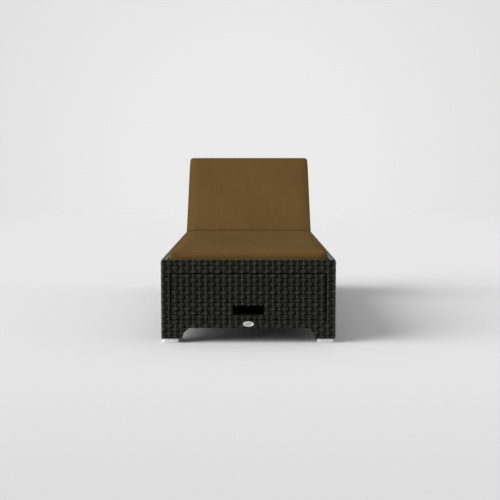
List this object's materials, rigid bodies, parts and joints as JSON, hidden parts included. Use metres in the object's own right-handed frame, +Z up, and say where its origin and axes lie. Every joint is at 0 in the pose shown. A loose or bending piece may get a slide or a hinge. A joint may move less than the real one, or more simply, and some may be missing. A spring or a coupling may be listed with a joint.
{
  "type": "relaxation lounger",
  "caption": "Low woven-resin lounger with an adjustable back on a notched prop, a thick pad and a drawer under its foot end.",
  "frame": {"origin": "on the floor, at the centre of the lounger's footprint", "axes": "+X to the right seen from the foot end, +Y towards the head end, +Z up"},
  "size_m": [0.76, 2.042, 0.8014],
  "materials": {
    "weave": "woven flat resin strand, charcoal",
    "deck_weave": "woven flat resin strand, charcoal",
    "frame_paint": "powder-coated aluminium tube",
    "foot_metal": "satin aluminium",
    "badge_metal": "satin aluminium with a raised rim",
    "bolt_steel": "zinc-plated steel",
    "runner_steel": "zinc-plated sheet steel",
    "drawer_plastic": "black moulded sheet",
    "pad_fabric": "woven outdoor cloth, olive brown",
    "bush_nylon": "natural nylon",
    "cap_rubber": "black moulded rubber"
  },
  "bodies": {
    "base": {"side_rail_left": "frame_paint", "side_rail_right": "frame_paint", "front_rail": "frame_paint", "rear_rail": "frame_paint", "lower_rails": "frame_paint", "corner_posts": "frame_paint", "mid_posts": "frame_paint", "leg_boxes": "frame_paint", "seat_cross_tubes": "frame_paint", "hinge_cross_tube": "frame_paint", "hinge_brackets": "frame_paint", "pivot_bolts": "bolt_steel", "rack_left": "frame_paint", "rack_right": "frame_paint", "rack_screws": "bolt_steel", "feet": "foot_metal", "rail_weave_front": "weave", "rail_weave_rear": "weave", "rail_weave_left": "weave", "rail_weave_right": "weave", "lower_rail_weave": "weave", "post_weave": "weave", "leg_weave": "weave", "arch_corners": "weave", "side_weave_left": "weave", "side_weave_right": "weave", "rear_weave": "weave", "seat_deck": "deck_weave", "badge": "badge_metal", "runner_left": "runner_steel", "runner_right": "runner_steel", "seat_cushion": "pad_fabric"},
    "backrest": {"back_tube_left": "frame_paint", "back_tube_right": "frame_paint", "back_cross_tubes": "frame_paint", "back_deck": "deck_weave", "back_lugs": "frame_paint", "pivot_bushes": "bush_nylon", "prop_lugs": "frame_paint", "prop_pins": "bolt_steel", "back_cushion": "pad_fabric"},
    "prop": {"prop_arm_left": "frame_paint", "prop_arm_right": "frame_paint", "prop_foot_rod": "frame_paint", "rod_caps": "cap_rubber"},
    "drawer": {"drawer_board": "drawer_plastic", "drawer_weave": "weave", "slot_liner": "drawer_plastic", "drawer_side_left": "drawer_plastic", "drawer_side_right": "drawer_plastic", "drawer_back": "drawer_plastic", "drawer_floor": "drawer_plastic", "slide_left": "runner_steel", "slide_right": "runner_steel"}
  },
  "joints": [
    {"name": "backrest_recline", "type": "hinge", "parent": "base", "child": "backrest", "pos_m": [0, 0.3672, 0.292], "axis": [1, 0, 0], "range_deg": [-46.8, 13.2]},
    {"name": "prop_swing", "type": "hinge", "parent": "backrest", "child": "prop", "pos_m": [0, 0.55954, 0.49682], "axis": [1, 0, 0], "range_deg": [-26.4, 93.6]},
    {"name": "drawer_slide", "type": "slide", "parent": "base", "child": "drawer", "axis": [0, -1, 0], "range_m": [0, 0.4]}
  ],
  "couplings": [
    {"joint": "prop_swing", "follows": "backrest_recline", "ratio": -2}
  ]
}
